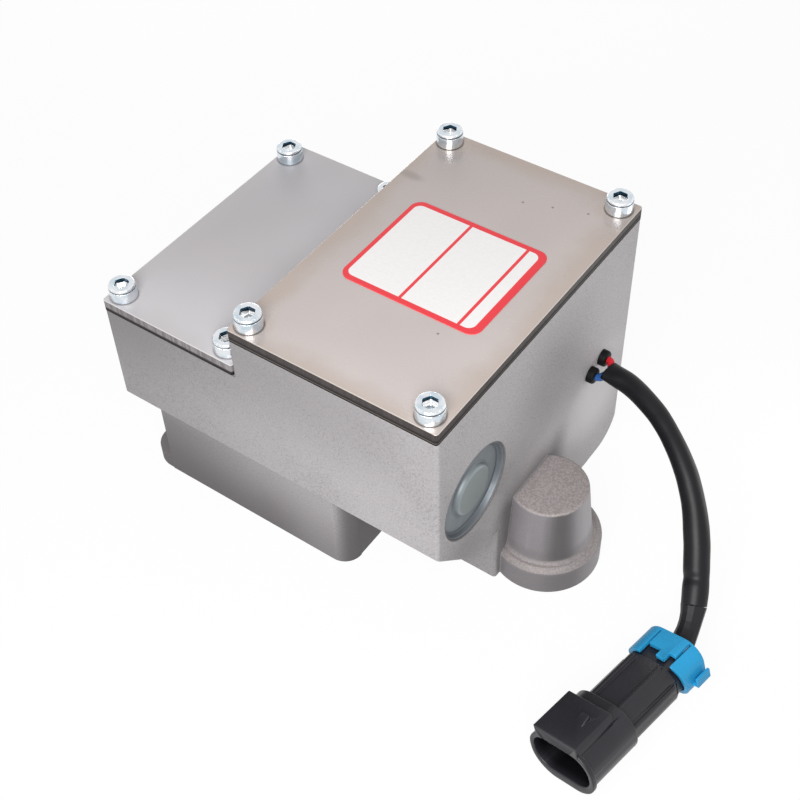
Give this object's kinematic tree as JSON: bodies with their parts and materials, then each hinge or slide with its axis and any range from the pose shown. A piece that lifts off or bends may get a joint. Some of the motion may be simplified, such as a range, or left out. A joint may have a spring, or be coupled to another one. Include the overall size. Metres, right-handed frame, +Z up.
{
  "type": "engine governor actuator",
  "caption": "Cast rotary-magnet actuator that moves an engine's fuel rack, with lever chamber, return spring and a short lead with a two-pole connector.",
  "frame": {"origin": "on the mounting face, under the middle of the casting's box", "axes": "+X to the side where the leads come out, +Y from the front face to the back, +Z up from the mounting face to the covers"},
  "size_m": [0.2528, 0.1624, 0.1307],
  "materials": {
    "cast_aluminium": "as-cast, slightly rough",
    "main_cover_sheet": "matte plate with a warm tint at the screws",
    "lever_cover_sheet": "matte plate",
    "gasket_black": "layered fibre and rubber sheet",
    "screw_zinc": "bright zinc",
    "plug_zinc": "dull zinc",
    "plate_foil": "printed foil, bare fields with a red border",
    "grommet_rubber": "matte rubber",
    "lamination_steel": "stacked electrical sheet",
    "bolt_black": "blackened",
    "bobbin_nylon": "moulded",
    "winding_copper": "enamelled copper wire",
    "ground_steel": "ground",
    "armature_iron": "turned",
    "bearing_steel": "polished",
    "lever_steel": "machined",
    "link_zinc": "yellow zinc",
    "spring_steel": "oiled spring wire",
    "lead_red": "cross-linked insulation",
    "lead_blue": "cross-linked insulation",
    "sleeve_black": "soft vinyl tube",
    "boot_black": "soft rubber",
    "connector_black": "moulded nylon",
    "clip_blue": "moulded, slightly glossy",
    "seal_grey": "silicone",
    "terminal_tin": "tinned brass"
  },
  "bodies": {
    "casting": {"housing": "cast_aluminium", "main_cover": "main_cover_sheet", "main_cover_gasket": "gasket_black", "lever_cover": "lever_cover_sheet", "lever_cover_gasket": "gasket_black", "main_cover_screws": "screw_zinc", "lever_cover_screws": "screw_zinc", "core_plug": "plug_zinc", "rating_plate": "plate_foil", "lead_grommets": "grommet_rubber", "stator_core": "lamination_steel", "stator_screws": "bolt_black", "coil_bobbin": "bobbin_nylon", "coil_winding": "winding_copper", "bearing_left": "bearing_steel", "bearing_right": "bearing_steel", "bearing_circlip": "spring_steel", "return_spring": "spring_steel", "spring_post": "ground_steel", "stop_screw": "link_zinc", "stop_nut": "link_zinc", "lead_red": "lead_red", "lead_blue": "lead_blue", "wire_sleeve": "sleeve_black", "connector_boot": "boot_black", "connector_shell": "connector_black", "connector_clip": "clip_blue", "connector_seal": "seal_grey", "terminal_left": "terminal_tin", "terminal_right": "terminal_tin"},
    "shaft_unit": {"actuator_shaft": "ground_steel", "armature": "armature_iron", "output_lever": "lever_steel", "lever_clamp_screw": "bolt_black", "lever_pin": "ground_steel", "lever_pin_clip": "spring_steel"},
    "link": {"rack_link": "link_zinc"}
  },
  "joints": [
    {"name": "shaft_turn", "type": "hinge", "parent": "casting", "child": "shaft_unit", "pos_m": [-0.059, -0.0448, 0.0715], "axis": [1, 0, 0], "range_deg": [0, 25], "stiffness_Nm_per_rad": 0.6, "springref_deg": -28.65, "deforming": ["return_spring"]},
    {"name": "link_swing", "type": "hinge", "parent": "shaft_unit", "child": "link", "pos_m": [-0.0527, -0.0028, 0.0715], "axis": [1, 0, 0], "range_deg": [-35, 10]}
  ]
}
